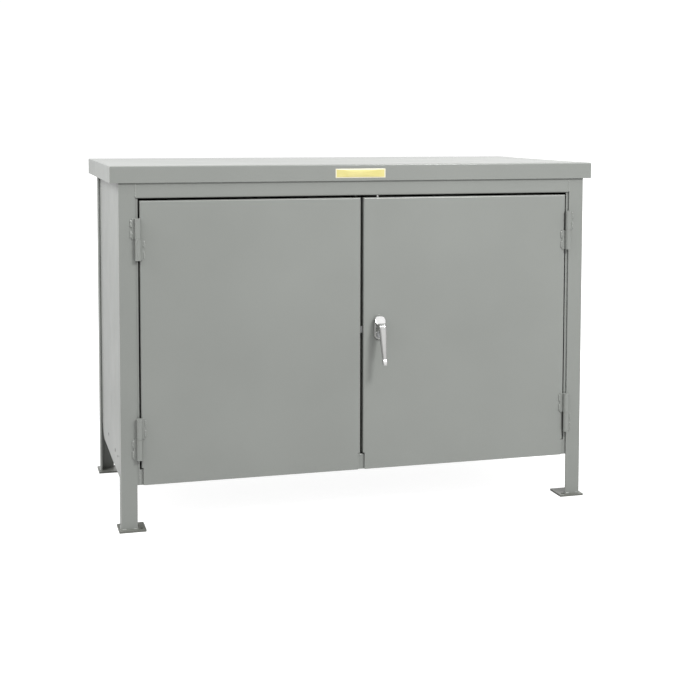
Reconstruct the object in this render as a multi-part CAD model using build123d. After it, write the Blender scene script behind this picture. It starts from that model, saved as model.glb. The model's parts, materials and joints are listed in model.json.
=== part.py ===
from build123d import *
import math
import os

# Cabinet workbench: a welded steel bench with two doors, a handle and rod latch, and foot pads.
# Millimetres. X runs to the right, Y to the back and Z up. The origin is on the floor, at the
# centre of the four anchor holes, which is also the centre of the post frame in plan.
# A depth is a distance behind the front face of the front posts.

# Bench top
top_width = 1219.2
top_depth = 609.6
bench_height = 863.6
top_gauge = 2.66
top_flange = 40.0
top_bend_radius = 3.2
side_overhang = 20.3
front_overhang = 5.1
rear_overhang = 25.4

# Corner posts and foot pads
post_leg = 38.1
post_wall = 4.76
post_root_radius = 4.0
post_toe_chamfer = 1.6
pad_side = 63.5
pad_thickness = 4.76
pad_outset = 6.35
anchor_hole_d = 11.1
anchor_from_inner_edge = 12.7
anchor_from_end_edge = 14.0

# Cabinet body
sheet_gauge = 1.9
bend_radius = 2.4
body_bottom = 108.0
sill_height = 38.1
header_show = 36.2
header_return = 30.0
jamb_show = 6.4
corner_cut_radius = 63.5
corner_cut_step = 8.0
fit_gap = 0.3

# Stiffener under the top
hat_lip = 19.0
hat_width = 50.0
hat_height = 38.0

# Middle shelf and its support angles
shelf_top = 455.0
shelf_front_setback = 76.0
shelf_back_setback = 20.0
shelf_lip = 25.0
support_leg = 25.4
support_wall = 3.2
support_end_gap = 12.0

# Doors
door_depth = 25.4
door_gauge = 1.9
door_bend_radius = 3.4
door_top_gap = 5.6
door_hinge_gap = 3.8
centre_gap = 6.8
sill_clearance = 3.4
door_relief = 4.5
door_channel_height = 22.0

# Stop tab behind the left door
stop_thickness = 3.0
stop_inset = 4.0
stop_length = 18.0
stop_height = 17.0

# Hinges
hinge_d = 13.0
hinge_half_length = 49.0
hinge_split_gap = 0.6
hinge_face_gap = 0.35
hinge_foot_reach = 14.0
hinge_foot_thickness = 2.5
hinge_foot_edge_chamfer = 1.2
hinge_from_door_top = 90.0
hinge_from_door_bottom = 111.7
hinge_pin_d = 6.35
hinge_running_gap = 0.05
hinge_bore_depth = 38.0
hinge_pin_end_gap = 0.5

# Handle: the hub's axis is set from the right door's free edge and from the floor, and
# stand-offs are measured out from the door's front face
handle_inset = 40.0
handle_z = 474.5
plate_width = 26.0
plate_height = 56.5
plate_rise = 12.2
plate_thickness = 5.0
neck_d = 14.0
hub_d = 24.0
hub_collar = 2.5
hub_dome_height = 12.0
hub_dome_steps = 4
spindle_side = 7.0
spindle_end_d = 5.0
spindle_end_proud = 0.5
arm_root_stand_off = 8.0
arm_top_drop = 1.0
arm_bottom_drop = 11.0
arm_bend_stand_off = 20.0
arm_bend_drop = 13.5
shoulder_stand_off = 34.0
shoulder_drop = 5.0
knee_stand_off = 39.5
knee_drop = 13.0
knee_thickness = 11.5
lever_length = 100.8
lever_root_width = 15.0
lever_end_stand_off = 55.0
lever_end_thickness = 8.0
lever_end_width = 9.4
lever_edge_chamfer = 2.0
running_gap = 0.05
key_d = 16.0
key_drop = 31.0
key_face_proud = 1.5
key_tail = 3.0
key_slot_length = 8.0
key_slot_width = 1.6
key_slot_depth = 3.0
screw_d = 5.0
screw_head_flats = 8.0
screw_head_height = 2.5
screw_reach = 3.5
screw_end_gap = 1.0
screw_drop = 15.5
screw_spread = 7.5

# Latch inside the right door: bolt in front, cam behind it, rod ends behind the cam
bolt_depth = 7.0
plate_gauge = 3.0
layer_gap = 0.5
stud_radius = 10.0
stud_d = 5.0
stud_play = 0.6
stud_overhang = 0.6
cam_margin = 1.0
cam_corner_chamfer = 3.0
cam_square_gap = 0.05
nut_across_flats = 10.0
nut_height = 4.0
bolt_height = 16.0
bolt_drop = 18.3
bolt_tip_past_centre = 1.8
bolt_web_left = -19.5
bolt_web_width = 9.0
bolt_arm_bottom = 6.2
bolt_arm_top = 18.0
bolt_arm_right = 12.0
bolt_tail_bottom = 8.0
bolt_tail_top = 16.0
bolt_tail_right = 40.0
slot_play = 0.8
slot_depth_play = 0.8
bolt_guide_left = 15.5
bolt_guide_width = 8.0
bolt_guide_gauge = 1.5
bolt_guide_foot = 9.0
bolt_guide_play = 0.4

# Lock rods
rod_d = 6.35
rod_hole_d = 7.2
rod_tip_gap = 0.5
rod_tip_chamfer = 1.0
lock_hole_d = 15.0
yoke_inner = 6.5
yoke_web_width = 4.5
yoke_finger = 4.0
yoke_bar_bottom = 20.0
yoke_bar_height = 6.0
yoke_bar_overlap = 4.0
guide_width = 22.0
guide_depth = 22.0
guide_foot = 20.0
guide_gauge = 2.0
upper_guide_z = 640.0
lower_guide_z = 300.0

# Places worked out from the sizes above
frame_width = top_width - 2 * side_overhang
frame_depth = top_depth - front_overhang - rear_overhang
front_y = -frame_depth / 2
back_y = frame_depth / 2
post_x = frame_width / 2
opening_x = post_x - post_leg
panel_x = post_x - post_wall
inner_x = panel_x - sheet_gauge
jamb_x = opening_x - jamb_show
underside_z = bench_height - top_gauge
panel_bend_radius = post_root_radius + fit_gap - sheet_gauge / 2
header_bottom = bench_height - top_flange - header_show
sill_top = body_bottom + sill_height
back_panel_y = back_y - post_wall - 2 * sheet_gauge
door_hinge_x = jamb_x - door_hinge_gap
door_free_x = centre_gap / 2
door_top = header_bottom - door_top_gap
door_pan_bottom = sill_top + sill_clearance
hinge_x = (door_hinge_x + opening_x) / 2
hinge_y = front_y - hinge_d / 2 - hinge_face_gap
handle_x = door_free_x + handle_inset
cam_depth = bolt_depth + plate_gauge + layer_gap
yoke_depth = cam_depth + plate_gauge + layer_gap
rod_depth = yoke_depth + plate_gauge / 2
stud_reach = stud_radius * 0.5 ** 0.5

# The latch frame: local x is X, local y is Z, and local z points out of the door.
latch_frame = Plane(origin=(handle_x, front_y, handle_z), x_dir=(1, 0, 0), z_dir=(0, -1, 0))


def block(x, y, z):
    """A box given by its two limits along each axis."""
    size = Box(x[1] - x[0], y[1] - y[0], z[1] - z[0])
    return Pos((x[0] + x[1]) / 2, (y[0] + y[1]) / 2, (z[0] + z[1]) / 2) * size


def panel(x, y):
    """A flat rectangle given by its two limits along each sketch axis."""
    return Pos((x[0] + x[1]) / 2, (y[0] + y[1]) / 2) * Rectangle(x[1] - x[0], y[1] - y[0])


def folded(points, gauge, radius):
    """The section of a bent sheet whose middle follows the points."""
    return Sketch() + trace(FilletPolyline(*points, radius=radius), line_width=gauge)


def along_x(section, x):
    """A section drawn in Y and Z, run between two limits in X."""
    return Pos(x[0], 0, 0) * extrude(Plane.YZ * section, x[1] - x[0])


def along_z(section, z):
    """A section drawn in X and Y, run between two limits in Z."""
    return Pos(0, 0, z[0]) * extrude(section, z[1] - z[0])


def upright_rod(x, y, z, diameter):
    """A round bar along Z between two heights."""
    return Pos(x, y, (z[0] + z[1]) / 2) * Cylinder(diameter / 2, z[1] - z[0])


def latch_plate(section, depth, thickness=plate_gauge):
    """A plate in the latch frame whose front face lies at a depth behind the door's front."""
    return latch_frame * (Pos(0, 0, -depth - thickness) * extrude(section, thickness))


def left_copy(shape):
    """The mirror of a right-hand piece."""
    return mirror(shape, about=Plane.YZ)


def back_copy(shape):
    """The mirror of a front piece."""
    return mirror(shape, about=Plane.XZ)


def angle_section(leg, wall, root_radius, toe_chamfer):
    """An angle iron's section, with its outer corner at the origin and legs along +X and +Y."""
    corners = [(0, 0), (leg, 0), (leg, wall), (wall, wall), (wall, leg), (0, leg)]
    section = make_face(Polyline(*corners, close=True))
    root = section.vertices().sort_by_distance((wall, wall))[0]
    section = fillet(root, root_radius)
    toes = [section.vertices().sort_by_distance(place)[0] for place in ((leg, wall), (wall, leg))]
    return chamfer(toes, toe_chamfer)


def make_bench_top():
    """A sheet pan, open below, rounded outside along its bends, with welded square corners."""
    near_y = front_y - front_overhang
    far_y = near_y + top_depth
    half_width = top_width / 2
    pan = block((-half_width, half_width), (near_y, far_y), (bench_height - top_flange, bench_height))
    pan = fillet(pan.faces().sort_by(Axis.Z)[-1].edges(), top_bend_radius)
    return pan - block(
        (-half_width + top_gauge, half_width - top_gauge),
        (near_y + top_gauge, far_y - top_gauge),
        (bench_height - top_flange - 1, underside_z),
    )


def make_top_stiffener():
    half = hat_width / 2 - sheet_gauge / 2
    lip_z = underside_z - sheet_gauge / 2
    floor_z = underside_z - hat_height + sheet_gauge / 2
    points = [
        (-half - hat_lip, lip_z),
        (-half, lip_z),
        (-half, floor_z),
        (half, floor_z),
        (half, lip_z),
        (half + hat_lip, lip_z),
    ]
    return along_x(folded(points, sheet_gauge, bend_radius), (-inner_x, inner_x))


def make_post():
    """The right front post."""
    section = angle_section(post_leg, post_wall, post_root_radius, post_toe_chamfer)
    section = Pos(post_x, front_y) * mirror(section, about=Plane.YZ)
    return along_z(section, (pad_thickness, underside_z))


def make_foot_pad():
    """The right front foot pad."""
    outer_x = post_x + pad_outset
    end_y = front_y + post_leg / 2 - pad_side / 2
    pad = block((outer_x - pad_side, outer_x), (end_y, end_y + pad_side), (0, pad_thickness))
    hole_x = outer_x - pad_side + anchor_from_inner_edge
    hole_y = end_y + anchor_from_end_edge
    return pad - upright_rod(hole_x, hole_y, (-1, pad_thickness + 1), anchor_hole_d)


def make_header_rail():
    points = [
        (front_y + header_return, header_bottom + sheet_gauge / 2),
        (front_y + sheet_gauge / 2, header_bottom + sheet_gauge / 2),
        (front_y + sheet_gauge / 2, underside_z - sheet_gauge / 2),
        (front_y + header_return, underside_z - sheet_gauge / 2),
    ]
    rail = along_x(folded(points, sheet_gauge, bend_radius), (-opening_x, opening_x))
    hole_z = (header_bottom - 1, header_bottom + sheet_gauge + 1)
    return rail - upright_rod(handle_x, front_y + rod_depth, hole_z, lock_hole_d)


def side_outline():
    """A side panel seen from the side, with the rear bottom corner cut away round the post."""
    cut_y = back_y - post_leg
    cut_z = body_bottom + corner_cut_radius + corner_cut_step
    corners = [
        (front_y, body_bottom),
        (cut_y, body_bottom),
        (cut_y, cut_z),
        (back_y, cut_z),
        (back_y, underside_z),
        (front_y, underside_z),
    ]
    face = make_face(Polyline(*corners, close=True))
    lower = face.vertices().sort_by_distance((cut_y, body_bottom))[0]
    return fillet(lower, corner_cut_radius)


def make_side_panel():
    """The right side panel, with its front and rear returns."""
    middle_x = panel_x - sheet_gauge / 2
    near_y = front_y + post_wall + sheet_gauge / 2
    far_y = back_y - post_wall - sheet_gauge / 2
    points = [(jamb_x, near_y), (middle_x, near_y), (middle_x, far_y), (jamb_x, far_y)]
    sheet = along_z(folded(points, sheet_gauge, panel_bend_radius), (body_bottom, underside_z))
    sheet = sheet & along_x(side_outline(), (0, post_x))
    header_space = block(
        (0, opening_x + fit_gap),
        (front_y, front_y + header_return),
        (header_bottom, bench_height),
    )
    return sheet - header_space


def make_back_panel():
    """A flat sheet on the side panels' rear returns, clear of their bends."""
    half_width = inner_x - panel_bend_radius
    return block(
        (-half_width, half_width),
        (back_panel_y, back_panel_y + sheet_gauge),
        (body_bottom, underside_z),
    )


def make_bottom_shelf():
    near_y = front_y + post_wall
    pan = block((-inner_x, inner_x), (near_y, back_panel_y), (body_bottom, sill_top))
    front_edge = pan.edges().filter_by(Axis.X).sort_by_distance((0, near_y, sill_top))[0]
    pan = fillet(front_edge, bend_radius)
    pan = offset(pan, amount=-sheet_gauge, openings=pan.faces().sort_by(Axis.Z)[0])
    past_top = sill_top + 1
    jamb_notch = block(
        (jamb_x - fit_gap, post_x),
        (near_y - 1, near_y + sheet_gauge + panel_bend_radius),
        (0, past_top),
    )
    post_notch = block((opening_x, post_x), (back_y - post_leg, back_y), (0, past_top))
    flange_zone = block((inner_x - sheet_gauge, post_x), (0, back_y), (0, past_top))
    flange_cut = flange_zone - along_x(side_outline(), (0, post_x))
    for cut in (jamb_notch, post_notch, flange_cut):
        pan = pan - cut - left_copy(cut)
    hole_z = (sill_top - sheet_gauge - 1, past_top)
    return pan - upright_rod(handle_x, front_y + rod_depth, hole_z, lock_hole_d)


def make_middle_shelf():
    near_y = front_y + shelf_front_setback + sheet_gauge / 2
    far_y = back_panel_y - shelf_back_setback - sheet_gauge / 2
    sheet_z = shelf_top - sheet_gauge / 2
    points = [
        (near_y, shelf_top - shelf_lip),
        (near_y, sheet_z),
        (far_y, sheet_z),
        (far_y, shelf_top - shelf_lip),
    ]
    half_width = inner_x - fit_gap
    return along_x(folded(points, sheet_gauge, bend_radius), (-half_width, half_width))


def make_shelf_support():
    """The right support angle, welded to the side panel under the shelf."""
    section = angle_section(support_leg, support_wall, support_wall, support_wall / 2)
    near_y = front_y + shelf_front_setback + support_end_gap
    far_y = back_panel_y - shelf_back_setback - support_end_gap
    run = Pos(0, far_y, 0) * extrude(Plane.XZ * section, far_y - near_y)
    run = Rot(0, 180, 0) * run
    return Pos(inner_x, 0, shelf_top - sheet_gauge) * run


def make_stop_tab():
    """A plate welded under and behind the header, for the left door's top edge to close on."""
    near_y = front_y + door_depth + fit_gap
    far_y = near_y + stop_length
    back_of_header = front_y + header_return
    outline = [
        (near_y, header_bottom),
        (near_y, header_bottom - stop_height),
        (far_y, header_bottom - stop_height),
        (far_y, header_bottom + stop_height),
        (back_of_header, header_bottom + stop_height),
        (back_of_header, header_bottom),
    ]
    right_x = -door_free_x - stop_inset
    return along_x(make_face(Polyline(*outline, close=True)), (right_x - stop_thickness, right_x))


def bolt_slot():
    """The opening in a door's free edge that the latch bolt slides through."""
    reach = door_free_x + door_gauge + 1
    middle_z = handle_z - bolt_drop
    half_height = bolt_height / 2 + slot_play
    return block(
        (0, reach),
        (front_y + bolt_depth - slot_depth_play, front_y + bolt_depth + plate_gauge + slot_depth_play),
        (middle_z - half_height, middle_z + half_height),
    )


def door_pan():
    """A right-hand door: a pan open at the back, whose skin laps down over the sill."""
    pan = block(
        (door_free_x, door_hinge_x),
        (front_y, front_y + door_depth),
        (door_pan_bottom, door_top),
    )
    front_edges = pan.faces().sort_by(Axis.Y)[0].edges()
    lowest = front_edges.sort_by(Axis.Z)[0]
    pan = fillet([edge for edge in front_edges if edge != lowest], door_bend_radius)
    open_faces = [pan.faces().sort_by(Axis.Y)[-1], pan.faces().sort_by(Axis.Z)[0]]
    pan = offset(pan, amount=-door_gauge, openings=open_faces)
    lap = block(
        (door_free_x + door_relief, door_hinge_x - door_relief),
        (front_y, front_y + door_gauge),
        (body_bottom, door_pan_bottom + 1),
    )
    return pan + lap - bolt_slot()


def make_left_door():
    return left_copy(door_pan())


def make_right_door():
    door = door_pan()
    holes = [(0, 0, neck_d), (0, -key_drop, key_d)]
    holes += [(across, -screw_drop, screw_d) for across in (-screw_spread, screw_spread)]
    for across, height, diameter in holes:
        cut = extrude(Circle(diameter / 2 + fit_gap), door_gauge + 2)
        door = door - latch_frame * Pos(across, height, -door_gauge - 1) * cut
    top_hole_z = (door_top - door_gauge - 1, door_top + 1)
    return door - upright_rod(handle_x, front_y + rod_depth, top_hole_z, rod_hole_d)


def door_channel():
    """The stiffening channel welded inside the foot of a right-hand door."""
    near_y = front_y + door_gauge + sheet_gauge / 2
    far_y = front_y + door_depth - sheet_gauge / 2
    floor_z = door_pan_bottom + sheet_gauge / 2
    rim_z = door_pan_bottom + door_channel_height
    points = [(near_y, rim_z), (near_y, floor_z), (far_y, floor_z), (far_y, rim_z)]
    limits = (door_free_x + door_bend_radius, door_hinge_x - door_bend_radius)
    return along_x(folded(points, sheet_gauge, bend_radius), limits)


def make_right_door_channel():
    hole_z = (door_pan_bottom - 1, door_pan_bottom + sheet_gauge + 1)
    return door_channel() - upright_rod(handle_x, front_y + rod_depth, hole_z, rod_hole_d)


def hinge_split_z(upper):
    return door_top - hinge_from_door_top if upper else body_bottom + hinge_from_door_bottom


def reach_from(split_z, nearest, furthest, above):
    """The two heights between two distances from a hinge's split, lowest first."""
    if above:
        return split_z + nearest, split_z + furthest
    return split_z - furthest, split_z - nearest


def hinge_foot(limits, on_post):
    """The flat part of a right-hand hinge half, chamfered along its outer edge for the weld."""
    reach = hinge_foot_reach if on_post else -hinge_foot_reach
    front = front_y - hinge_foot_thickness
    foot = block(sorted((hinge_x, hinge_x + reach)), (front, front_y), limits)
    edges = foot.edges().filter_by(Axis.Z)
    outer_edge = edges.sort_by_distance((hinge_x + reach, front, limits[0]))[0]
    return chamfer(outer_edge, hinge_foot_edge_chamfer)


def hinge_half(split_z, above, on_post):
    """One half of a right-hand hinge: a barrel with a blind bore, and a foot to weld on."""
    half_gap = hinge_split_gap / 2
    limits = reach_from(split_z, half_gap, half_gap + hinge_half_length, above)
    barrel = upright_rod(hinge_x, hinge_y, limits, hinge_d)
    bore_limits = reach_from(split_z, 0, hinge_bore_depth, above)
    bore_d = hinge_pin_d if on_post else hinge_pin_d + 2 * hinge_running_gap
    half = barrel + hinge_foot(limits, on_post)
    return half - upright_rod(hinge_x, hinge_y, bore_limits, bore_d)


def hinge_pin(split_z):
    reach = hinge_bore_depth - hinge_pin_end_gap
    return upright_rod(hinge_x, hinge_y, (split_z - reach, split_z + reach), hinge_pin_d)


def make_escutcheon():
    middle = plate_rise - plate_height / 2
    outline = Pos(0, middle) * SlotOverall(plate_height, plate_width, rotation=90)
    plate = extrude(outline, plate_thickness)
    for height, diameter in ((0, neck_d), (-key_drop, key_d)):
        bore = Circle(diameter / 2 + running_gap)
        plate = plate - Pos(0, height, -1) * extrude(bore, plate_thickness + 2)
    for across in (-screw_spread, screw_spread):
        blind_hole = extrude(Circle(screw_d / 2), screw_reach + screw_end_gap)
        plate = plate - Pos(across, -screw_drop) * blind_hole
    return latch_frame * plate


def escutcheon_screw(across):
    """A hexagon-headed screw from inside the door."""
    head_depth = door_gauge + screw_head_height
    head = extrude(RegularPolygon(screw_head_flats / 2, 6, major_radius=False), screw_head_height)
    shank = extrude(Circle(screw_d / 2), head_depth + screw_reach)
    return latch_frame * (Pos(across, -screw_drop, -head_depth) * (head + shank))


def make_hub():
    """The neck, the collar and the dome, turned round the spindle's axis."""
    inner = -door_gauge - fit_gap
    seat = plate_thickness + fit_gap
    dome_base = seat + hub_collar
    corners = [(0, inner), (neck_d / 2, inner), (neck_d / 2, seat), (hub_d / 2, seat)]
    for step in range(hub_dome_steps):
        turn = math.radians(90 * step / hub_dome_steps)
        corners.append((hub_d / 2 * math.cos(turn), dome_base + hub_dome_height * math.sin(turn)))
    corners.append((0, dome_base + hub_dome_height))
    return revolve(Plane.XZ * make_face(Polyline(*corners, close=True)), Axis.Z)


def make_lever():
    """The arm that leaves the hub and turns down: its front and side outlines, crossed."""
    end = -lever_length
    stations = [
        (-arm_top_drop, lever_root_width),
        (-knee_drop, lever_root_width),
        (end, lever_end_width),
    ]
    right_side = [(width / 2, height) for height, width in stations]
    left_side = [(-x, height) for x, height in reversed(right_side)]
    front = make_face(Polyline(*right_side, *left_side, close=True))
    side_corners = [
        (-arm_top_drop, arm_root_stand_off),
        (-shoulder_drop, shoulder_stand_off),
        (-knee_drop, knee_stand_off),
        (end, lever_end_stand_off),
        (end, lever_end_stand_off - lever_end_thickness),
        (-knee_drop - lever_end_thickness, knee_stand_off - knee_thickness),
        (-arm_bend_drop, arm_bend_stand_off),
        (-arm_bottom_drop, arm_root_stand_off),
    ]
    side = make_face(Polyline(*side_corners, close=True))
    blank = extrude(front, lever_end_stand_off) & extrude(Plane.YZ * side, lever_root_width, both=True)
    long_edges = blank.edges().filter_by(lambda edge: edge.length > lever_length / 2)
    return chamfer(long_edges, lever_edge_chamfer)


def make_spindle():
    """The square shank behind the hub, and its round end for the nut."""
    shoulder = -yoke_depth + layer_gap
    shank = extrude(Rectangle(spindle_side, spindle_side), -shoulder - door_gauge - fit_gap)
    end_length = nut_height + spindle_end_proud
    end = Pos(0, 0, -end_length) * extrude(Circle(spindle_end_d / 2), end_length)
    return Pos(0, 0, shoulder) * (shank + end)


def make_door_handle():
    return latch_frame * (make_hub() + make_lever() + make_spindle())


def make_key_cylinder():
    inner = -door_gauge - key_tail
    outer = plate_thickness + key_face_proud
    body = Pos(0, -key_drop, inner) * extrude(Circle(key_d / 2), outer - inner)
    keyway = extrude(Rectangle(key_slot_width, key_slot_length), key_slot_depth)
    return latch_frame * (body - Pos(0, -key_drop, outer - key_slot_depth) * keyway)


def stud(angle, depth, length):
    """A cam stud at an angle round the spindle, between two depths."""
    place = Rot(0, 0, angle) * Pos(stud_radius, 0) * Circle(stud_d / 2)
    return latch_plate(place, depth, length)


def make_latch_cam():
    """A square plate with a stud near three corners: one forward for the bolt, two back for the rods."""
    hole_side = spindle_side + 2 * cam_square_gap
    side = 2 * (stud_reach + stud_d / 2 + cam_margin)
    square = Rectangle(side, side)
    outline = chamfer(square.vertices(), cam_corner_chamfer)
    plate = latch_plate(outline - Rectangle(hole_side, hole_side), cam_depth)
    reach = layer_gap + plate_gauge + stud_overhang
    cam = plate + stud(45, cam_depth - reach, reach)
    for angle in (-45, 135):
        cam = cam + stud(angle, cam_depth + plate_gauge, reach)
    return cam


def make_spindle_nut():
    shape = RegularPolygon(nut_across_flats / 2, 6, major_radius=False) - Circle(spindle_end_d / 2)
    return latch_plate(shape, cam_depth + plate_gauge, nut_height)


def make_latch_bolt():
    """The sliding plate: tongue at the lower left, web, and an arm forked over the cam stud."""
    tip = -bolt_tip_past_centre - handle_x
    web_right = bolt_web_left + bolt_web_width
    tongue_top = -bolt_drop + bolt_height / 2
    tongue_bottom = -bolt_drop - bolt_height / 2
    shape = panel((tip, web_right), (tongue_bottom, tongue_top))
    shape += panel((bolt_web_left, web_right), (tongue_bottom, bolt_arm_top))
    shape += panel((bolt_web_left, bolt_arm_right), (bolt_arm_bottom, bolt_arm_top))
    shape += panel((0, bolt_tail_right), (bolt_tail_bottom, bolt_tail_top))
    half = stud_d / 2 + stud_play
    fork_top = stud_radius + half
    shape -= panel((stud_reach - half, stud_reach + half), (0, fork_top))
    return latch_plate(shape, bolt_depth)


def make_bolt_guide():
    """A strap over the bolt's tail, welded to the inside of the door skin."""
    low = bolt_tail_bottom - bolt_guide_play - bolt_guide_gauge / 2
    high = bolt_tail_top + bolt_guide_play + bolt_guide_gauge / 2
    skin = -door_gauge - bolt_guide_gauge / 2
    crown = -bolt_depth - plate_gauge - bolt_guide_play - bolt_guide_gauge / 2
    points = [
        (low - bolt_guide_foot, skin),
        (low, skin),
        (low, crown),
        (high, crown),
        (high, skin),
        (high + bolt_guide_foot, skin),
    ]
    strap = extrude(Plane.YZ * folded(points, bolt_guide_gauge, bolt_guide_gauge), bolt_guide_width)
    return latch_frame * (Pos(bolt_guide_left, 0, 0) * strap)


def rod_yoke():
    """The forked end plate of the upper rod, drawn round the spindle."""
    half = stud_d / 2 + stud_play
    web_left = stud_radius + stud_d / 2 + 1
    web_right = web_left + yoke_web_width
    slot_middle = -stud_reach
    bar_top = yoke_bar_bottom + yoke_bar_height
    bottom = slot_middle - half - yoke_finger
    shape = panel((web_left, web_right), (bottom, bar_top))
    shape += panel((yoke_inner, web_right), (slot_middle + half, slot_middle + half + yoke_finger))
    shape += panel((yoke_inner, web_right), (bottom, slot_middle - half))
    shape += panel((-yoke_bar_overlap, web_right), (yoke_bar_bottom, bar_top))
    return shape


def make_upper_rod():
    bottom = handle_z + yoke_bar_bottom
    rod = upright_rod(handle_x, front_y + rod_depth, (bottom, header_bottom - rod_tip_gap), rod_d)
    tip = rod.edges().filter_by(GeomType.CIRCLE).sort_by(Axis.Z)[-1]
    return chamfer(tip, rod_tip_chamfer) + latch_plate(rod_yoke(), yoke_depth)


def make_lower_rod():
    top = handle_z - yoke_bar_bottom
    rod = upright_rod(handle_x, front_y + rod_depth, (sill_top + rod_tip_gap, top), rod_d)
    tip = rod.edges().filter_by(GeomType.CIRCLE).sort_by(Axis.Z)[0]
    return chamfer(tip, rod_tip_chamfer) + latch_plate(Rot(0, 0, 180) * rod_yoke(), yoke_depth)


def rod_guide(height, foot_up):
    """A small bent bracket on the door skin, with a hole that guides a lock rod."""
    near_y = front_y + door_gauge + guide_gauge / 2
    foot_z = height + guide_foot if foot_up else height - guide_foot
    points = [(near_y, foot_z), (near_y, height), (front_y + guide_depth, height)]
    limits = (handle_x - guide_width / 2, handle_x + guide_width / 2)
    bracket = along_x(folded(points, guide_gauge, guide_gauge), limits)
    hole_z = (height - guide_gauge, height + guide_gauge)
    return bracket - upright_rod(handle_x, front_y + rod_depth, hole_z, rod_hole_d)


def save(name, shape):
    export_step(shape, f"parts/{name}.step")


def save_four(ending, shape):
    """Save a right front piece and its three mirrored copies."""
    save(f"front_right_{ending}", shape)
    save(f"front_left_{ending}", left_copy(shape))
    save(f"rear_right_{ending}", back_copy(shape))
    save(f"rear_left_{ending}", left_copy(back_copy(shape)))


def save_pair(ending, shape):
    """Save a right-hand piece and its mirrored copy."""
    save(f"right_{ending}", shape)
    save(f"left_{ending}", left_copy(shape))


def save_group(name, solids):
    """Save repeated pieces of one body as one node of separate solids."""
    save(name, Compound(children=solids))


def save_hinges():
    """The post carries the top half of an upper hinge and the bottom half of a lower one."""
    splits = [(hinge_split_z(upper), upper) for upper in (True, False)]
    post_halves = [hinge_half(z, above=upper, on_post=True) for z, upper in splits]
    door_halves = [hinge_half(z, above=not upper, on_post=False) for z, upper in splits]
    pins = [hinge_pin(z) for z, upper in splits]
    save_group("right_hinge_post_halves", post_halves)
    save_group("left_hinge_post_halves", [left_copy(half) for half in post_halves])
    save_group("right_hinge_door_halves", door_halves)
    save_group("left_hinge_door_halves", [left_copy(half) for half in door_halves])
    save_group("hinge_pins", pins + [left_copy(pin) for pin in pins])


os.makedirs("parts", exist_ok=True)
save("bench_top", make_bench_top())
save("top_stiffener", make_top_stiffener())
save_four("post", make_post())
save_four("foot_pad", make_foot_pad())
save("header_rail", make_header_rail())
save_pair("side_panel", make_side_panel())
save("back_panel", make_back_panel())
save("bottom_shelf", make_bottom_shelf())
save("middle_shelf", make_middle_shelf())
save_pair("shelf_support", make_shelf_support())
save("door_stop_tab", make_stop_tab())
save("left_door", make_left_door())
save("right_door", make_right_door())
save("left_door_channel", left_copy(door_channel()))
save("right_door_channel", make_right_door_channel())
save_hinges()
save("handle_escutcheon", make_escutcheon())
screw_places = (-screw_spread, screw_spread)
save_group("escutcheon_screws", [escutcheon_screw(across) for across in screw_places])
save("door_handle", make_door_handle())
save("key_cylinder", make_key_cylinder())
save("latch_cam", make_latch_cam())
save("spindle_nut", make_spindle_nut())
save("latch_bolt", make_latch_bolt())
save("bolt_guide", make_bolt_guide())
save("upper_lock_rod", make_upper_rod())
save("lower_lock_rod", make_lower_rod())
save_group("rod_guides", [rod_guide(upper_guide_z, True), rod_guide(lower_guide_z, False)])
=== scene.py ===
"""Looks for the cabinet workbench: materials, welds, floor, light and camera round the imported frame."""

import json
import math
import random

import bmesh
import bpy
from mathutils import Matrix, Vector


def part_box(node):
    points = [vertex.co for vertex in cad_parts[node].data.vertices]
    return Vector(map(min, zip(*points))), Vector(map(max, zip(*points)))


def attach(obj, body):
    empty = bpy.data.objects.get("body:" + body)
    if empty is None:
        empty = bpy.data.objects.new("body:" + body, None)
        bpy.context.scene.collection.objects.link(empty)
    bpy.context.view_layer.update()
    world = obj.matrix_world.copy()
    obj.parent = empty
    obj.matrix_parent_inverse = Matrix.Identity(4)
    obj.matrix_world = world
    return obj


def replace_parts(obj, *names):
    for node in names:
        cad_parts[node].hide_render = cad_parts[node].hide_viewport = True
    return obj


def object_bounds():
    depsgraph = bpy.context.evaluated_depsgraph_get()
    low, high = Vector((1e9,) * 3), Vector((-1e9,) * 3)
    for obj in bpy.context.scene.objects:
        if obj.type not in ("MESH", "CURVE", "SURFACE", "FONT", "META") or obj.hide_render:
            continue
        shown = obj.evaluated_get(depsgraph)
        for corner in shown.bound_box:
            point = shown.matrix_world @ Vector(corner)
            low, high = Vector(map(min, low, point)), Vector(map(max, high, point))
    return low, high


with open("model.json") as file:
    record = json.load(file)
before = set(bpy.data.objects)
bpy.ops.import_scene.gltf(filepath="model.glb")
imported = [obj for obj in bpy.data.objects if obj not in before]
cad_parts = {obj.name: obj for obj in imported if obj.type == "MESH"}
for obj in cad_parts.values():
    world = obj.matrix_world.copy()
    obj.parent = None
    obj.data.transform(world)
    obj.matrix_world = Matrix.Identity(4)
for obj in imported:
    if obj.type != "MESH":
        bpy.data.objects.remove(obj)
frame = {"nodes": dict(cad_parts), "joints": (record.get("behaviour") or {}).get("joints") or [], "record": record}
cad_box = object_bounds()
scene = bpy.context.scene
MM = 0.001


# Places read from the frame, in millimetres
def lowest(node, axis):
    """A node's lowest coordinate at rest along an axis."""
    return round(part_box(node)[0]["XYZ".index(axis)] / MM, 3)


def highest(node, axis):
    """A node's highest coordinate at rest along an axis."""
    return round(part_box(node)[1]["XYZ".index(axis)] / MM, 3)


def turning_point(name):
    """The point that a hinged joint turns about."""
    joint = next(joint for joint in frame["joints"] if joint["name"] == name)
    return [round(value / MM, 3) for value in joint["pos_m"]]


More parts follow.
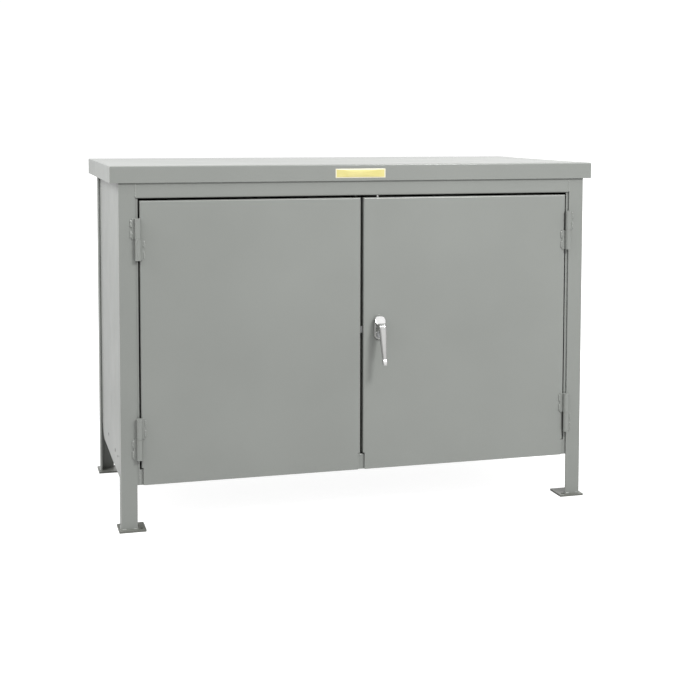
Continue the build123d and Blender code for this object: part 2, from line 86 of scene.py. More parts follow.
FRONT_Y = lowest("front_right_post", "Y")
POST_INNER = lowest("front_right_post", "X")
POST_OUTER = highest("front_right_post", "X")
PAD_TOP = highest("front_right_foot_pad", "Z")
HEADER_UNDER = lowest("header_rail", "Z")
TOP_UNDER = lowest("bench_top", "Z")
TOP_FRONT = lowest("bench_top", "Y")
SIDE_FACE = highest("right_side_panel", "X")
BACK_FACE = highest("back_panel", "Y")
SHELF_TOP = highest("bottom_shelf", "Z")
HINGE_X = turning_point("right_door_swing")[0]
HINGE_REACH = highest("right_hinge_post_halves", "X") - HINGE_X
HANDLE_AXIS = turning_point("handle_turn")
KEY_AXIS = turning_point("key_turn")
PLATE_FACE = FRONT_Y - lowest("handle_escutcheon", "Y")


# Shader helpers
NOISE_SPAN = (0.3, 0.7)
# The colour sockets of a Mix node go by index, because its other sockets have the same names.
MIX_FIRST, MIX_SECOND, MIX_RESULT = 6, 7, 2


def new_material(name):
    material = bpy.data.materials.new(name)
    material.use_nodes = True
    tree = material.node_tree
    shader = tree.nodes["Principled BSDF"]
    return material, tree, shader


def set_inputs(node, values):
    for key, value in values.items():
        node.inputs[key].default_value = value


def add_node(tree, kind, inputs=None, **settings):
    node = tree.nodes.new(kind)
    for key, value in settings.items():
        setattr(node, key, value)
    set_inputs(node, inputs or {})
    return node


def feed(tree, value, socket):
    """Links a socket to another socket, or sets it to a colour or a number."""
    if isinstance(value, bpy.types.NodeSocket):
        tree.links.new(value, socket)
    elif isinstance(value, tuple):
        socket.default_value = (*value, 1.0)
    else:
        socket.default_value = value


def object_coordinates(tree, scale=(1, 1, 1)):
    place = add_node(tree, "ShaderNodeTexCoord")
    mapping = add_node(tree, "ShaderNodeMapping", {"Scale": scale})
    feed(tree, place.outputs["Object"], mapping.inputs["Vector"])
    return mapping.outputs["Vector"]


def noise(tree, vector, scale, detail, rough=0.5, distortion=0.0):
    node = add_node(
        tree, "ShaderNodeTexNoise",
        {"Scale": scale, "Detail": detail, "Roughness": rough, "Distortion": distortion},
    )
    feed(tree, vector, node.inputs["Vector"])
    return node.outputs["Fac"]


def remap(tree, value, span, result=(0.0, 1.0)):
    """Stretches a span of values to the range of the result, and holds the rest at its ends."""
    node = add_node(
        tree, "ShaderNodeMapRange",
        {"From Min": span[0], "From Max": span[1], "To Min": result[0], "To Max": result[1]},
    )
    feed(tree, value, node.inputs["Value"])
    return node.outputs["Result"]


def patches(tree, vector, scale, detail, span=NOISE_SPAN, result=(0.0, 1.0), rough=0.5, distortion=0.0):
    """Noise stretched to patches that reach both ends of the result's range."""
    return remap(tree, noise(tree, vector, scale, detail, rough, distortion), span, result)


def mix_colours(tree, factor, first, second):
    node = add_node(tree, "ShaderNodeMix", data_type="RGBA")
    feed(tree, factor, node.inputs["Factor"])
    feed(tree, first, node.inputs[MIX_FIRST])
    feed(tree, second, node.inputs[MIX_SECOND])
    return node.outputs[MIX_RESULT]


def calculate(tree, operation, *values):
    """A Math node fed with numbers and sockets."""
    node = add_node(tree, "ShaderNodeMath", operation=operation)
    for value, socket in zip(values, node.inputs):
        feed(tree, value, socket)
    return node.outputs["Value"]


def bump(tree, shader, heights):
    """Chains bumps: each entry is a height, its strength and its depth in millimetres."""
    last = None
    for height, strength, depth in heights:
        node = add_node(tree, "ShaderNodeBump", {"Strength": strength, "Distance": depth * MM})
        feed(tree, height, node.inputs["Height"])
        if last is not None:
            feed(tree, last, node.inputs["Normal"])
        last = node.outputs["Normal"]
    feed(tree, last, shader.inputs["Normal"])


def edge_mask(tree, radius, flat, sharp):
    """0 on flat faces and 1 on edges: how well a normal rounded over a radius in millimetres agrees."""
    bevel = add_node(tree, "ShaderNodeBevel", {"Radius": radius * MM}, samples=4)
    shape = add_node(tree, "ShaderNodeNewGeometry")
    agreement = add_node(tree, "ShaderNodeVectorMath", operation="DOT_PRODUCT")
    feed(tree, bevel.outputs["Normal"], agreement.inputs[0])
    feed(tree, shape.outputs["Normal"], agreement.inputs[1])
    return remap(tree, agreement.outputs["Value"], (flat, sharp))


def shade(colour, share):
    """A colour made darker or lighter, up to white."""
    return tuple(min(1.0, value * share) for value in colour)


# Paint and metal
def powder_coat(name, colour, roughness):
    """Gloss powder coat: cloudy tone, orange peel, slow waviness of the sheet, and lighter edges that are partly
    thin paint and partly a painted highlight.
    """
    material, tree, shader = new_material(name)
    place = object_coordinates(tree)
    clouds = patches(tree, place, scale=3.2, detail=3.0)
    specks = patches(tree, place, scale=900.0, detail=1.0, span=(0.35, 0.65))
    tone = mix_colours(tree, clouds, shade(colour, 0.955), shade(colour, 1.035))
    grain = mix_colours(tree, calculate(tree, "MULTIPLY", specks, 0.10), tone, shade(colour, 0.8))
    # Lighter colour on patches of the edges: partly edge wear, partly a painted highlight where the bends catch
    # light.
    edges = edge_mask(tree, radius=1.2, flat=0.985, sharp=0.80)
    edge_patches = patches(tree, place, scale=45.0, detail=4.0, span=(0.42, 0.62), result=(0.12, 0.75), rough=0.65)
    edge_wear_and_painted_highlight = calculate(tree, "MULTIPLY", edges, edge_patches)
    feed(tree, mix_colours(tree, edge_wear_and_painted_highlight, grain, shade(colour, 1.55)), shader.inputs["Base Color"])
    smears = patches(tree, place, scale=7.0, detail=4.0, result=(roughness - 0.035, roughness + 0.05),
                     rough=0.6, distortion=0.6)
    feed(tree, smears, shader.inputs["Roughness"])
    waves = noise(tree, place, scale=2.6, detail=1.0)
    peel = noise(tree, place, scale=420.0, detail=1.5)
    bump(tree, shader, [(waves, 1.0, 1.6), (peel, 0.16, 0.25)])
    set_inputs(shader, {"Specular IOR Level": 0.5, "Coat Weight": 0.25, "Coat Roughness": 0.16})
    return material


def plated(name, colour, roughness, stain, streak_scale, streaks=(1, 1, 1), wear=0.25, dents=0.25,
           edge_wear_and_highlight_gain=1.12, edge_width=0.5):
    """Bare plated metal: fine drawn or rolled streaks, dull patches, and brighter edges that are partly wear and
    partly a painted highlight.
    """
    material, tree, shader = new_material(name)
    along = object_coordinates(tree, streaks)
    place = object_coordinates(tree)
    lines = noise(tree, along, streak_scale, detail=3.0, rough=0.6)
    dull = patches(tree, place, scale=38.0, detail=4.0, span=(0.35, 0.7), result=(0.0, wear), rough=0.65)
    base = mix_colours(tree, dull, colour, stain)
    # Lighter colour on the edges: edge wear, and a painted highlight where the gain is strong.
    edges = edge_mask(tree, edge_width, flat=0.98, sharp=0.85)
    feed(tree, mix_colours(tree, edges, base, shade(colour, edge_wear_and_highlight_gain)), shader.inputs["Base Color"])
    polish = remap(tree, lines, NOISE_SPAN, (roughness * 0.8, roughness * 1.35))
    feed(tree, polish, shader.inputs["Roughness"])
    dimples = noise(tree, place, scale=75.0, detail=2.0)
    bump(tree, shader, [(lines, 0.4 * dents, 0.1), (dimples, dents, 0.2)])
    set_inputs(shader, {"Metallic": 1.0})
    return material


GREY = (0.241, 0.252, 0.237)
PAD_GREY = (0.130, 0.134, 0.119)
body_paint = powder_coat("body_paint", GREY, 0.33)
post_paint = powder_coat("post_paint", shade(GREY, 0.97), 0.36)
door_paint = powder_coat("door_paint", GREY, 0.34)
pad_paint = powder_coat("pad_paint", PAD_GREY, 0.48)
# The weld paint is lighter than the body paint: a painted highlight where the weld ripples catch light.
highlit_weld_paint = powder_coat("highlit_weld_paint", shade(GREY, 1.06), 0.30)
# The plug weld paint is much darker than the body paint: painted shade in the welds' small hollows.
plug_painted_shade = powder_coat("plug_painted_shade", shade(GREY, 0.45), 0.42)
chrome = plated("handle_chrome", (0.65, 0.65, 0.645), 0.12, stain=(0.56, 0.56, 0.55),
                streak_scale=24.0, wear=0.3, dents=0.03)
# A darker chrome paints the shade in the escutcheon's recessed field, and the strong edge gain paints a highlight
# on its rim.
shaded_plate_chrome = plated("escutcheon_chrome_painted_shade_and_highlight", (0.44, 0.44, 0.43), 0.16, stain=(0.34, 0.34, 0.33),
                      streak_scale=24.0, wear=0.4, dents=0.05, edge_wear_and_highlight_gain=2.2, edge_width=1.1)
lock_steel = plated("lock_steel", (0.66, 0.67, 0.69), 0.26, stain=(0.42, 0.42, 0.42),
                    streak_scale=30.0, streaks=(1, 1, 12))
# The bolt's darker steel paints the shade it sits in, inside the gap between the doors.
bolt_steel_painted_shade = plated("bolt_steel_painted_shade", (0.27, 0.27, 0.27), 0.38, stain=(0.16, 0.16, 0.16),
                    streak_scale=30.0, streaks=(12, 1, 1))
bright_rod = plated("bright_rod", (0.92, 0.92, 0.90), 0.16, stain=(0.80, 0.79, 0.76),
                    streak_scale=45.0, streaks=(1, 1, 6), dents=0.05)
zinc = plated("zinc_plate", (0.70, 0.70, 0.68), 0.34, stain=(0.52, 0.50, 0.45),
              streak_scale=45.0, streaks=(1, 1, 6), wear=0.5)


# Label vinyl, and the label's place on the top's front flange
LABEL_LEFT, LABEL_RIGHT = -69.0, 57.3
LABEL_HEIGHT = 22.5
LABEL_BOTTOM = TOP_UNDER + 6.7
LABEL_TOP = LABEL_BOTTOM + LABEL_HEIGHT
END_BORDER, SIDE_BORDER = 2.6, 2.2
BORDER_BLUR = 0.4
YELLOW, PALE_YELLOW = (0.62, 0.55, 0.20), (0.67, 0.60, 0.26)
CREAM = (0.74, 0.70, 0.54)


def beyond(tree, value, low, high):
    """0 between two places and 1 outside them. The places are in millimetres."""
    shifted = calculate(tree, "SUBTRACT", value, (low + high) / 2 * MM)
    distance = calculate(tree, "ABSOLUTE", shifted)
    half = (high - low) / 2
    return remap(tree, distance, ((half - BORDER_BLUR) * MM, (half + BORDER_BLUR) * MM))


def label_vinyl():
    """Blank yellow vinyl with a cream border, slightly mottled."""
    material, tree, shader = new_material("label_vinyl")
    place = object_coordinates(tree)
    mottle = patches(tree, place, scale=30.0, detail=3.0)
    face = mix_colours(tree, mottle, YELLOW, PALE_YELLOW)
    parts = add_node(tree, "ShaderNodeSeparateXYZ")
    feed(tree, place, parts.inputs["Vector"])
    ends = beyond(tree, parts.outputs["X"], LABEL_LEFT + END_BORDER, LABEL_RIGHT - END_BORDER)
    sides = beyond(tree, parts.outputs["Z"], LABEL_BOTTOM + SIDE_BORDER, LABEL_TOP - SIDE_BORDER)
    border = calculate(tree, "MAXIMUM", ends, sides)
    feed(tree, mix_colours(tree, border, face, CREAM), shader.inputs["Base Color"])
    sheen = patches(tree, place, scale=90.0, detail=2.0, result=(0.30, 0.42))
    feed(tree, sheen, shader.inputs["Roughness"])
    ripples = noise(tree, place, scale=260.0, detail=1.0)
    bump(tree, shader, [(ripples, 0.1, 0.1)])
    return material


# Materials on the CAD nodes
label_paint = label_vinyl()
by_slot = {
    "paint": body_paint,
    "post_paint": post_paint,
    "door_paint": door_paint,
    "handle_chrome": chrome,
    "lock_metal": lock_steel,
    "plated_steel": zinc,
}
by_node = {node: pad_paint for node in frame["nodes"] if node.endswith("foot_pad")}
by_node["latch_bolt"] = bolt_steel_painted_shade
by_node["upper_lock_rod"] = bright_rod
by_node["lower_lock_rod"] = bright_rod
slot_of = {part["node"]: part["material_slot"] for part in frame["record"]["subparts"]}


def dress(obj, material):
    if not obj.data.materials:
        obj.data.materials.append(material)
    for holder in obj.material_slots:
        holder.link = "OBJECT"
        holder.material = material


for node, obj in frame["nodes"].items():
    dress(obj, by_node.get(node, by_slot[slot_of[node]]))


# Mesh helpers
def smooth(mesh):
    for face in mesh.polygons:
        face.use_smooth = True


def add_piece(name, shape, material, body):
    """Turns a bmesh into a smooth-shaded piece that rides on a body."""
    bmesh.ops.recalc_face_normals(shape, faces=shape.faces)
    mesh = bpy.data.meshes.new(name)
    shape.to_mesh(mesh)
    shape.free()
    smooth(mesh)
    piece = bpy.data.objects.new(name, mesh)
    scene.collection.objects.link(piece)
    dress(piece, material)
    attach(piece, body)
    return piece


def circle(count):
    """The cosine and sine of even steps round a turn."""
    turns = [math.tau * n / count for n in range(count)]
    return [(math.cos(turn), math.sin(turn)) for turn in turns]


def add_tube(shape, rings, looped=False):
    """Joins rings of points. The ends are closed with fans, or joined to each other in a loop."""
    made = [[shape.verts.new(point) for point in ring] for ring in rings]
    count = len(made[0])
    following = made[1:] + made[:1] if looped else made[1:]
    for first, second in zip(made, following):
        for i in range(count):
            j = (i + 1) % count
            shape.faces.new((first[i], first[j], second[j], second[i]))
    ends = () if looped else (made[0], made[-1])
    for ring in ends:
        middle = shape.verts.new(sum((v.co for v in ring), Vector()) / count)
        for i in range(count):
            shape.faces.new((ring[i], ring[(i + 1) % count], middle))


def apply_modifiers(piece):
    view = bpy.context.evaluated_depsgraph_get()
    finished = bpy.data.meshes.new_from_object(piece.evaluated_get(view))
    piece.modifiers.clear()
    piece.data = finished
    smooth(finished)


# Weld beads, in millimetres, with shares of a bead's own size
BEAD_SIDES = 10
STEPS_PER_RIPPLE = 6
LEAST_STEPS = 8
SWELL, DRIFT = 0.14, 0.09
LEAST_TAPER = 0.03
PINCH = 0.1
BURIED = 0.5


def add_bead(shape, start, end, out, seed, width, rise, pitch, groove=0.16):
    """A rippled bead from start to end, proud along out. Groove is the height lost between ripples."""
    chance = random.Random(seed)
    start, end, out = Vector(start), Vector(end), Vector(out).normalized()
    length = (end - start).length
    along = (end - start) / length
    across = along.cross(out).normalized()
    steps = max(LEAST_STEPS, int(length / pitch * STEPS_PER_RIPPLE))
    swell = [1 + chance.uniform(-SWELL, SWELL) for _ in range(int(length / pitch) + 3)]
    drift = [chance.uniform(-DRIFT, DRIFT) * width for _ in swell]
    rings = []
    for i in range(steps + 1):
        laid = length * i / steps
        k = int(laid / pitch)
        part = laid / pitch - k
        size = swell[k] * (1 - part) + swell[k + 1] * part
        side = drift[k] * (1 - part) + drift[k + 1] * part
        scallop = 1 - groove + groove * math.sqrt(max(0.0, 1 - (2 * part - 1) ** 2))
        from_end = min(1.0, min(laid, length - laid) / (width / 2))
        taper = math.sqrt(max(LEAST_TAPER, 1 - (1 - from_end) ** 2))
        half_width = width / 2 * size * taper * (1 - PINCH + PINCH * scallop)
        height = rise * size * taper * scallop
        depth = BURIED * rise * taper
        centre = start + along * laid + across * side
        rings.append([
            (centre + across * c * half_width + out * (s * (height if s > 0 else depth))) * MM
            for c, s in circle(BEAD_SIDES)
        ])
    add_tube(shape, rings)


# Hinge welds
HINGE_BEAD = {"width": 5.6, "rise": 2.4, "pitch": 2.3}
HINGE_BEAD_LEAN = 0.45
HINGE_BEAD_PROUD = 0.9
HINGE_BEAD_SEAT = 0.6
HINGE_BEAD_INSET = 3.0
HINGE_BEAD_GAP = 7.0
HINGE_PLAY = 0.3
UPPER_SPLIT = highest("right_hinge_door_halves", "Z") + HINGE_PLAY
LOWER_SPLIT = lowest("right_hinge_door_halves", "Z") - HINGE_PLAY
HALF_LENGTH = highest("right_hinge_post_halves", "Z") - UPPER_SPLIT - HINGE_PLAY


def hinge_welds(shape, side, on_post, seed):
    """Two beads on the toe of each hinge half that is on a post, or of each that is on a door."""
    outward = 1 if on_post else -1
    x = side * (HINGE_X + outward * HINGE_REACH + outward * HINGE_BEAD_SEAT)
    y = FRONT_Y - HINGE_BEAD_PROUD
    out = (side * outward * HINGE_BEAD_LEAN, -1, 0)
    for n, (split, post_half_above) in enumerate(((UPPER_SPLIT, True), (LOWER_SPLIT, False))):
        base = split if post_half_above == on_post else split - HALF_LENGTH
        near, far = base + HINGE_BEAD_INSET, base + HALF_LENGTH - HINGE_BEAD_INSET
        middle = (near + far) / 2
        runs = ((near, middle - HINGE_BEAD_GAP / 2), (middle + HINGE_BEAD_GAP / 2, far))
        for k, (low, high) in enumerate(runs):
            add_bead(shape, (x, y, low), (x, y, high), out, seed=seed + 10 * n + k, **HINGE_BEAD)


def make_door_welds(body, side):
    shape = bmesh.new()
    hinge_welds(shape, side, on_post=False, seed=80 + side)
    return add_piece(body + "_hinge_welds", shape, highlit_weld_paint, body)


# Frame welds
HEADER_BEAD = {"width": 4.6, "rise": 1.3, "pitch": 7.0, "groove": 0.75}
HEADER_BEAD_OFFSET = 0.6
HEADER_BEAD_SINK = 0.25
HEADER_BEAD_ENDS = (HEADER_UNDER + 1.6, TOP_UNDER - 2.1)
FOOT_BEAD = {"width": 3.2, "rise": 1.2, "pitch": 2.2}
TOE_BEAD = {"width": 3.2, "rise": 1.2, "pitch": 2.0}
FOOT_BEAD_SEAT = 0.3
FOOT_BEAD_HEIGHT = PAD_TOP + 0.34
FOOT_BEAD_LEAN = 0.6
# Each pair is where a bead starts and ends, measured in from the post's outer or front face.
FOOT_FACE_RUNS = ((1.5, 11.3), (27.3, 36.9))
FOOT_SIDE_RUN = (3.0, 35.0)
FOOT_TOE_RUN = (0.6, 4.2)
BACK_BEAD = {"width": 5.0, "rise": 2.0, "pitch": 2.3}
BACK_BEAD_HEIGHTS = (120.0, 300.0, 480.0, 660.0, 790.0)
BACK_BEAD_LENGTH = 26.0
BACK_BEAD_SINK = 0.29
BACK_BEAD_LEAN = 0.8


def header_weld(shape, side):
    """The coarse seam where the header meets a front post, from its lower edge to the top's."""
    x = side * (POST_INNER - HEADER_BEAD_OFFSET)
    y = FRONT_Y + HEADER_BEAD_SINK
    start, end = ((x, y, z) for z in HEADER_BEAD_ENDS)
    add_bead(shape, start, end, (0, -1, 0), seed=41 + side, **HEADER_BEAD)


def foot_welds(shape, side, face_y, out):
    """Beads round a post's foot: two on the face that looks out, one on its side, one at its toe."""
    y, z = face_y + out * FOOT_BEAD_SEAT, FOOT_BEAD_HEIGHT
    for near, far in FOOT_FACE_RUNS:
        start, end = (side * (POST_OUTER - near), y, z), (side * (POST_OUTER - far), y, z)
        add_bead(shape, start, end, (0, out, FOOT_BEAD_LEAN), seed=57 + side, **FOOT_BEAD)
    x = side * (POST_OUTER + FOOT_BEAD_SEAT)
    start, end = ((x, face_y - out * depth, z) for depth in FOOT_SIDE_RUN)
    add_bead(shape, start, end, (side, 0, FOOT_BEAD_LEAN), seed=63 + side, **FOOT_BEAD)
    x = side * (POST_INNER - FOOT_BEAD_SEAT)
    start, end = ((x, face_y - out * depth, z) for depth in FOOT_TOE_RUN)
    add_bead(shape, start, end, (-side, 0, 1), seed=66, **TOE_BEAD)


def back_welds(shape, side):
    """Short beads between the back panel and a rear post."""
    x, y = side * POST_INNER, BACK_FACE - BACK_BEAD_SINK
    for low in BACK_BEAD_HEIGHTS:
        start, end = (x, y, low), (x, y, low + BACK_BEAD_LENGTH)
        add_bead(shape, start, end, (-side * BACK_BEAD_LEAN, 1, 0), seed=int(low) + side, **BACK_BEAD)


def make_frame_welds():
    shape = bmesh.new()
    for side in (-1, 1):
        hinge_welds(shape, side, on_post=True, seed=20 + side)
        header_weld(shape, side)
        for out in (-1, 1):
            foot_welds(shape, side, -out * FRONT_Y, out)
        back_welds(shape, side)
    return add_piece("frame_welds", shape, highlit_weld_paint, "frame")


# Plug welds
PLUG_HEIGHT = SHELF_TOP + 4.7
# Each row is a plug's place along the bench's depth, and its radius.
PLUGS = ((65.6, 4.6), (-105.6, 5.2), (-168.0, 3.0))
# Each row is a ring's share of the radius, and its height off the panel.
PLUG_PROFILE = ((1.0, -0.3), (0.92, 0.25), (0.72, 0.7), (0.48, 0.45), (0.2, 0.12))
PLUG_SIDES = 14
PLUG_UNEVENNESS = 0.07


def add_plug(shape, centre, out, radius):
    """A plug weld: a low uneven ring round a small hollow."""
    centre, out = Vector(centre), Vector(out).normalized()
    side = out.orthogonal().normalized()
    other = out.cross(side)
    rings = []
    for share, lift in PLUG_PROFILE:
        ring = []
        for n, (c, s) in enumerate(circle(PLUG_SIDES)):
            uneven = 1 + PLUG_UNEVENNESS * math.sin(3 * n)
            ring.append((centre + (side * c + other * s) * radius * share * uneven + out * lift) * MM)
        rings.append(ring)
    add_tube(shape, rings)


def make_plug_welds():
    shape = bmesh.new()
    for side in (-1, 1):
        for y, radius in PLUGS:
            add_plug(shape, (side * SIDE_FACE, y, PLUG_HEIGHT), (side, 0, 0), radius)
    return add_piece("plug_welds", shape, plug_painted_shade, "frame")


make_frame_welds()
make_door_welds("left_door", -1)
make_door_welds("right_door", 1)
make_plug_welds()


# Label
LABEL_CORNER = 1.4
CORNER_STEPS = 5
# Each row is a ring's height off the flange, and how far it is drawn in along X and Z.
LABEL_RINGS = ((-0.05, 0.0, 0.0), (0.33, 0.0, 0.0), (0.40, 0.0024, 0.0096))


def label_outline():
    """The label's rounded outline in X and Z."""
    left, right = LABEL_LEFT + LABEL_CORNER, LABEL_RIGHT - LABEL_CORNER
    bottom, top = LABEL_BOTTOM + LABEL_CORNER, LABEL_TOP - LABEL_CORNER
    outline = []
    for x, z, begin in ((right, top, 0), (left, top, 90), (left, bottom, 180), (right, bottom, 270)):
        for k in range(CORNER_STEPS + 1):
            turn = math.radians(begin + 90 * k / CORNER_STEPS)
            outline.append((x + LABEL_CORNER * math.cos(turn), z + LABEL_CORNER * math.sin(turn)))
    return outline


def make_label():
    """A blank label on the top's front flange, where the photograph has a printed one."""
    shape = bmesh.new()
    middle_x, middle_z = (LABEL_LEFT + LABEL_RIGHT) / 2, (LABEL_BOTTOM + LABEL_TOP) / 2
    add_tube(shape, [
        [
            Vector((x + (middle_x - x) * in_x, TOP_FRONT - height, z + (middle_z - z) * in_z)) * MM
            for x, z in label_outline()
        ]
        for height, in_x, in_z in LABEL_RINGS
    ])
    return add_piece("blank_label", shape, label_paint, "frame")


make_label()


# Handle, in millimetres from the spindle's axis and the door's front face
HANDLE = (
    # rise, back and front stand-off, half width, squareness
    (15.8, 5.6, 7.8, 6.4, 0.90),
    (15.0, 5.4, 9.4, 9.0, 0.85),
    (13.0, 5.4, 11.6, 11.6, 0.80),
    (9.0, 5.4, 15.2, 13.6, 0.75),
    (4.5, 5.4, 19.2, 14.3, 0.72),
    (0.5, 5.4, 22.9, 14.0, 0.70),
    (-1.2, 5.4, 24.7, 13.0, 0.65),
    (-2.2, 5.4, 26.8, 11.6, 0.60),
    (-3.2, 5.4, 30.6, 10.2, 0.50),
    (-4.0, 5.4, 34.0, 9.6, 0.48),
    (-5.0, 5.5, 35.6, 9.3, 0.46),
    (-7.0, 10.0, 36.6, 9.1, 0.40),
    (-10.8, 18.0, 37.4, 9.0, 0.36),
    (-14.0, 24.0, 38.0, 8.9, 0.36),
    (-18.0, 27.4, 38.8, 8.7, 0.36),
    (-33.0, 31.4, 41.8, 8.0, 0.36),
    (-50.0, 35.2, 45.2, 7.1, 0.36),
    (-66.0, 38.8, 48.3, 6.2, 0.36),
    (-80.0, 41.9, 50.9, 5.4, 0.36),
    (-86.0, 43.2, 52.0, 5.0, 0.36),
    (-87.0, 43.4, 53.2, 5.3, 0.34),
    (-89.4, 43.9, 54.2, 5.4, 0.34),
    (-93.6, 45.4, 55.6, 5.4, 0.34),
    (-97.4, 47.4, 56.6, 5.2, 0.38),
    (-99.6, 49.4, 56.4, 4.5, 0.50),
)
HANDLE_SIDES = 44
VOXEL = 0.55
SMOOTHING = 0.5
SMOOTHING_PASSES = 16


def at_handle(across, stand_off, rise):
    """A point given from the spindle's axis on the door's front face."""
    return Vector((HANDLE_AXIS[0] + across, FRONT_Y - stand_off, HANDLE_AXIS[2] + rise)) * MM


def add_lathe(shape, profile, count, rise=0.0, looped=False):
    """A form turned round a level axis at that rise, from pairs of radius and stand-off."""
    add_tube(shape, [
        [at_handle(radius * c, depth, rise + radius * s) for c, s in circle(count)]
        for radius, depth in profile
    ], looped)


def squared(value, power):
    """A cosine or sine pushed outwards, which turns an ellipse into a rounded rectangle."""
    return math.copysign(abs(value) ** power, value)


def handle_rings():
    """Level sections down the handle."""
    rings = []
    for rise, back, front, half_width, power in HANDLE:
        middle, half = (back + front) / 2, (front - back) / 2
        rings.append([
            at_handle(half_width * squared(c, power), middle + half * squared(s, power), rise)
            for c, s in circle(HANDLE_SIDES)
        ])
    return rings


def make_handle():
    """The cast handle: a sloping head that narrows into a tapered lever with a lipped end."""
    shape = bmesh.new()
    add_tube(shape, handle_rings())
    piece = add_piece("cast_handle", shape, chrome, "handle")
    melt = piece.modifiers.new("melt", "REMESH")
    melt.mode = "VOXEL"
    melt.voxel_size = VOXEL * MM
    soften = piece.modifiers.new("soften", "SMOOTH")
    soften.factor = SMOOTHING
    soften.iterations = SMOOTHING_PASSES
    apply_modifiers(piece)
    return piece


# Spindle
NECK_PROFILE = ((6.9, PLATE_FACE + 2.0), (6.9, -2.0), (6.6, -2.2))
SHANK_HALF, SHANK_BEVEL = 3.5, 0.5
SHANK_STAND_OFFS = (-1.0, -13.4, -13.5)
THREAD_RADIUS, THREAD_ROOT = 2.5, 2.2
THREAD_START = -13.0
THREAD_STEP = 0.42
THREAD_RINGS = 12


def shank_section():
    """The shank's square outline, with its corners cut."""
    cut = SHANK_HALF - SHANK_BEVEL
    outline = []
    for right, up in ((1, 1), (-1, 1), (-1, -1), (1, -1)):
        pair = [(right * SHANK_HALF, up * cut), (right * cut, up * SHANK_HALF)]
        outline += pair if right * up > 0 else pair[::-1]
    return outline


def make_spindle():
    """Neck through the plate, square shank and threaded end."""
    shape = bmesh.new()
    add_lathe(shape, NECK_PROFILE, count=40)
    add_tube(shape, [[at_handle(x, depth, z) for x, z in shank_section()] for depth in SHANK_STAND_OFFS])
    thread = []
    for k in range(THREAD_RINGS):
        thread.append((THREAD_RADIUS if k % 2 else THREAD_ROOT, THREAD_START - THREAD_STEP * k))
    add_lathe(shape, thread, count=24)
    return add_piece("spindle", shape, lock_steel, "handle")


# Escutcheon
PLATE_RADIUS = 13.0
PLATE_TOP = 12.2
PLATE_LENGTH = 56.5
PLATE_END_STEPS = 20
# Each row is how far the outline is drawn in, and its stand-off.
PLATE_PROFILE = (
    (0.3, 0.0), (0.0, 0.4), (0.0, 1.9), (0.25, 2.9), (0.9, 3.9),
    (1.9, 4.6), (2.6, 4.8), (3.1, 4.5), (3.5, 4.1), (4.4, 4.0),
)
COLLAR_INNER, COLLAR_OUTER = 8.1, 9.6
COLLAR_PROFILE = (
    (COLLAR_OUTER, 3.5), (COLLAR_OUTER, 4.6), (COLLAR_OUTER - 0.4, 5.2),
    (COLLAR_INNER + 0.3, 5.4), (COLLAR_INNER, 5.1), (COLLAR_INNER, 3.5),
)


def plate_ring(inset, stand_off):
    """The plate's outline, round at both ends, drawn in by inset."""
    radius = PLATE_RADIUS - inset
    upper, lower = PLATE_TOP - PLATE_RADIUS, PLATE_TOP - PLATE_LENGTH + PLATE_RADIUS
    ring = []
    for centre, begin in ((upper, 0), (lower, 180)):
        for k in range(PLATE_END_STEPS + 1):
            turn = math.radians(begin + 180 * k / PLATE_END_STEPS)
            ring.append(at_handle(radius * math.cos(turn), stand_off, centre + radius * math.sin(turn)))
    return ring


def make_escutcheon():
    """The rounded plate, with a raised rim and the key cylinder's collar."""
    shape = bmesh.new()
    add_tube(shape, [plate_ring(inset, stand_off) for inset, stand_off in PLATE_PROFILE])
    add_lathe(shape, COLLAR_PROFILE, count=48, rise=KEY_AXIS[2] - HANDLE_AXIS[2], looped=True)
    return add_piece("rimmed_escutcheon", shape, shaded_plate_chrome, "right_door")


handle = make_handle()
make_spindle()
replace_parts(handle, "door_handle")
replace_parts(make_escutcheon(), "handle_escutcheon")


# Floor, in metres
FLOOR_HALF_WIDTH = 30.0
FLOOR_DROP = 0.0004
FLOOR_TONES = ((0.34, 0.34, 0.34), (0.38, 0.38, 0.38))
GLOW_SEEN, GLOW_MIRRORED = 0.92, 0.18


def floor_material():
    """Pale, and overexposed to white as the studio's sweep is, but throws little light back."""
    material, tree, shader = new_material("studio_floor")
    place = object_coordinates(tree)
    tone = patches(tree, place, scale=1.3, detail=3.0)
    feed(tree, mix_colours(tree, tone, *FLOOR_TONES), shader.inputs["Base Color"])
    set_inputs(shader, {"Roughness": 0.85, "Specular IOR Level": 0.15})
    path = add_node(tree, "ShaderNodeLightPath")
    seen = calculate(tree, "MULTIPLY", path.outputs["Is Camera Ray"], GLOW_SEEN)
    mirrored = calculate(tree, "MULTIPLY", path.outputs["Is Glossy Ray"], GLOW_MIRRORED)
    strength = calculate(tree, "ADD", seen, mirrored)
    glow = add_node(tree, "ShaderNodeEmission", {"Color": (1, 1, 1, 1)})
    feed(tree, strength, glow.inputs["Strength"])
    both = add_node(tree, "ShaderNodeAddShader")
    feed(tree, shader.outputs["BSDF"], both.inputs[0])
    feed(tree, glow.outputs["Emission"], both.inputs[1])
    feed(tree, both.outputs["Shader"], tree.nodes["Material Output"].inputs["Surface"])
    return material


def make_floor():
    mesh = bpy.data.meshes.new("studio_floor")
    shape = bmesh.new()
    bmesh.ops.create_grid(shape, x_segments=2, y_segments=2, size=FLOOR_HALF_WIDTH)
    shape.to_mesh(mesh)
    shape.free()
    floor = bpy.data.objects.new("studio_floor", mesh)
    scene.collection.objects.link(floor)
    floor.location.z = cad_box[0].z - FLOOR_DROP
    dress(floor, floor_material())


make_floor()


# Light, in metres and watts
OVERHEAD = (1.38, 1.38, 1.38)
BEHIND_LEFT, BEHIND_RIGHT = (0.60, 0.60, 0.61), (1.14, 1.14, 1.13)
BEHIND_CAMERA = (0.38, 0.38, 0.37)
BACKDROP_STRENGTH = 1.05
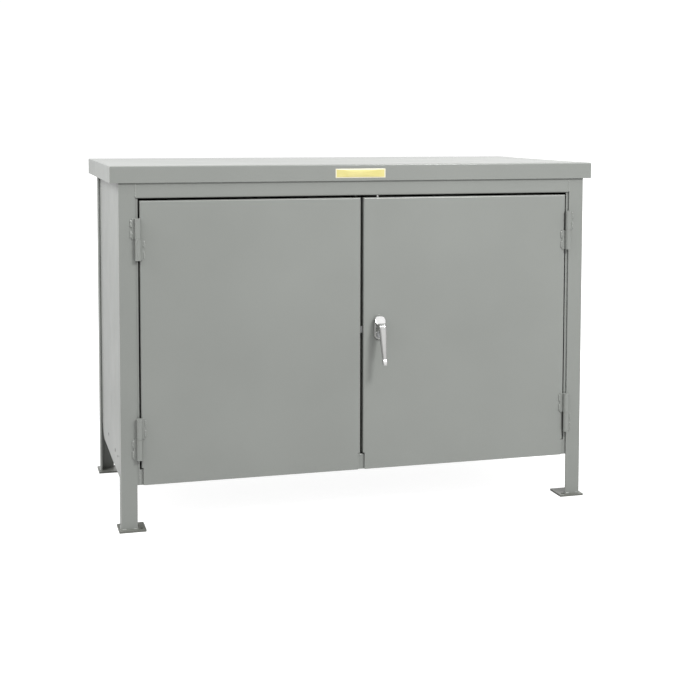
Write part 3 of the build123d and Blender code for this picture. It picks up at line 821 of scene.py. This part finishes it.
# The spans of a direction's X, Y and Z over which the tones blend
RIGHTWARD, BACKWARD, UPWARD = (-0.1, 0.45), (-0.75, 0.05), (0.16, 0.48)


def area_light(name, place, target, width, height, power):
    data = bpy.data.lights.new(name, "AREA")
    data.shape = "RECTANGLE"
    data.size = width
    data.size_y = height
    data.energy = power
    lamp = bpy.data.objects.new(name, data)
    lamp.visible_camera = False
    lamp.location = place
    lamp.rotation_euler = (Vector(target) - Vector(place)).to_track_quat("-Z", "Y").to_euler()
    scene.collection.objects.link(lamp)


def make_world():
    """A white studio: bright overhead, lighter behind the bench on the right, dim behind the camera."""
    world = bpy.data.worlds.new("studio")
    world.use_nodes = True
    scene.world = world
    tree = world.node_tree
    lighting = tree.nodes["Background"]
    place = add_node(tree, "ShaderNodeTexCoord")
    parts = add_node(tree, "ShaderNodeSeparateXYZ")
    feed(tree, place.outputs["Generated"], parts.inputs["Vector"])
    rightward = remap(tree, parts.outputs["X"], RIGHTWARD)
    behind = mix_colours(tree, rightward, BEHIND_LEFT, BEHIND_RIGHT)
    backward = remap(tree, parts.outputs["Y"], BACKWARD)
    around = mix_colours(tree, backward, BEHIND_CAMERA, behind)
    upward = remap(tree, parts.outputs["Z"], UPWARD)
    feed(tree, mix_colours(tree, upward, around, OVERHEAD), lighting.inputs["Color"])
    set_inputs(lighting, {"Strength": 1.0})
    backdrop = add_node(tree, "ShaderNodeBackground",
                        {"Color": (1, 1, 1, 1), "Strength": BACKDROP_STRENGTH})
    path = add_node(tree, "ShaderNodeLightPath")
    either = add_node(tree, "ShaderNodeMixShader")
    feed(tree, path.outputs["Is Camera Ray"], either.inputs["Fac"])
    feed(tree, lighting.outputs["Background"], either.inputs[1])
    feed(tree, backdrop.outputs["Background"], either.inputs[2])
    feed(tree, either.outputs["Shader"], tree.nodes["World Output"].inputs["Surface"])


make_world()
area_light("key", (1.2, -2.6, 2.6), target=(0.0, -0.3, 0.5), width=0.65, height=0.55, power=71.0)
area_light("front_softbox", (1.22, -3.69, 0.75), target=(0.05, -0.3, 0.45),
           width=1.6, height=1.5, power=3.2)
area_light("left_fill", (-1.5, -0.2, 1.5), target=(-0.6, -0.1, 0.8), width=0.8, height=0.6, power=16.5)


# Camera, solved from the photograph: place in metres, turns in degrees, lens in millimetres
CAMERA_PLACE = (-0.89221, -3.32203, 0.96705)
CAMERA_DOWN, CAMERA_ROLL, CAMERA_TURN = 3.903, -0.119, -15.843
SENSOR_WIDTH = 36.0
LENS = 66.70
SHIFT_Y = -0.2
NEAREST, FARTHEST = 0.05, 100.0


def make_camera():
    data = bpy.data.cameras.new("photo_camera")
    data.sensor_width = SENSOR_WIDTH
    data.lens = LENS
    data.shift_y = SHIFT_Y
    data.clip_start = NEAREST
    data.clip_end = FARTHEST
    camera = bpy.data.objects.new("photo_camera", data)
    camera.location = CAMERA_PLACE
    camera.rotation_euler = [math.radians(turn) for turn in (90 - CAMERA_DOWN, CAMERA_ROLL, CAMERA_TURN)]
    scene.collection.objects.link(camera)
    scene.camera = camera


make_camera()
scene.view_settings.view_transform = "Standard"
scene.view_settings.look = "None"
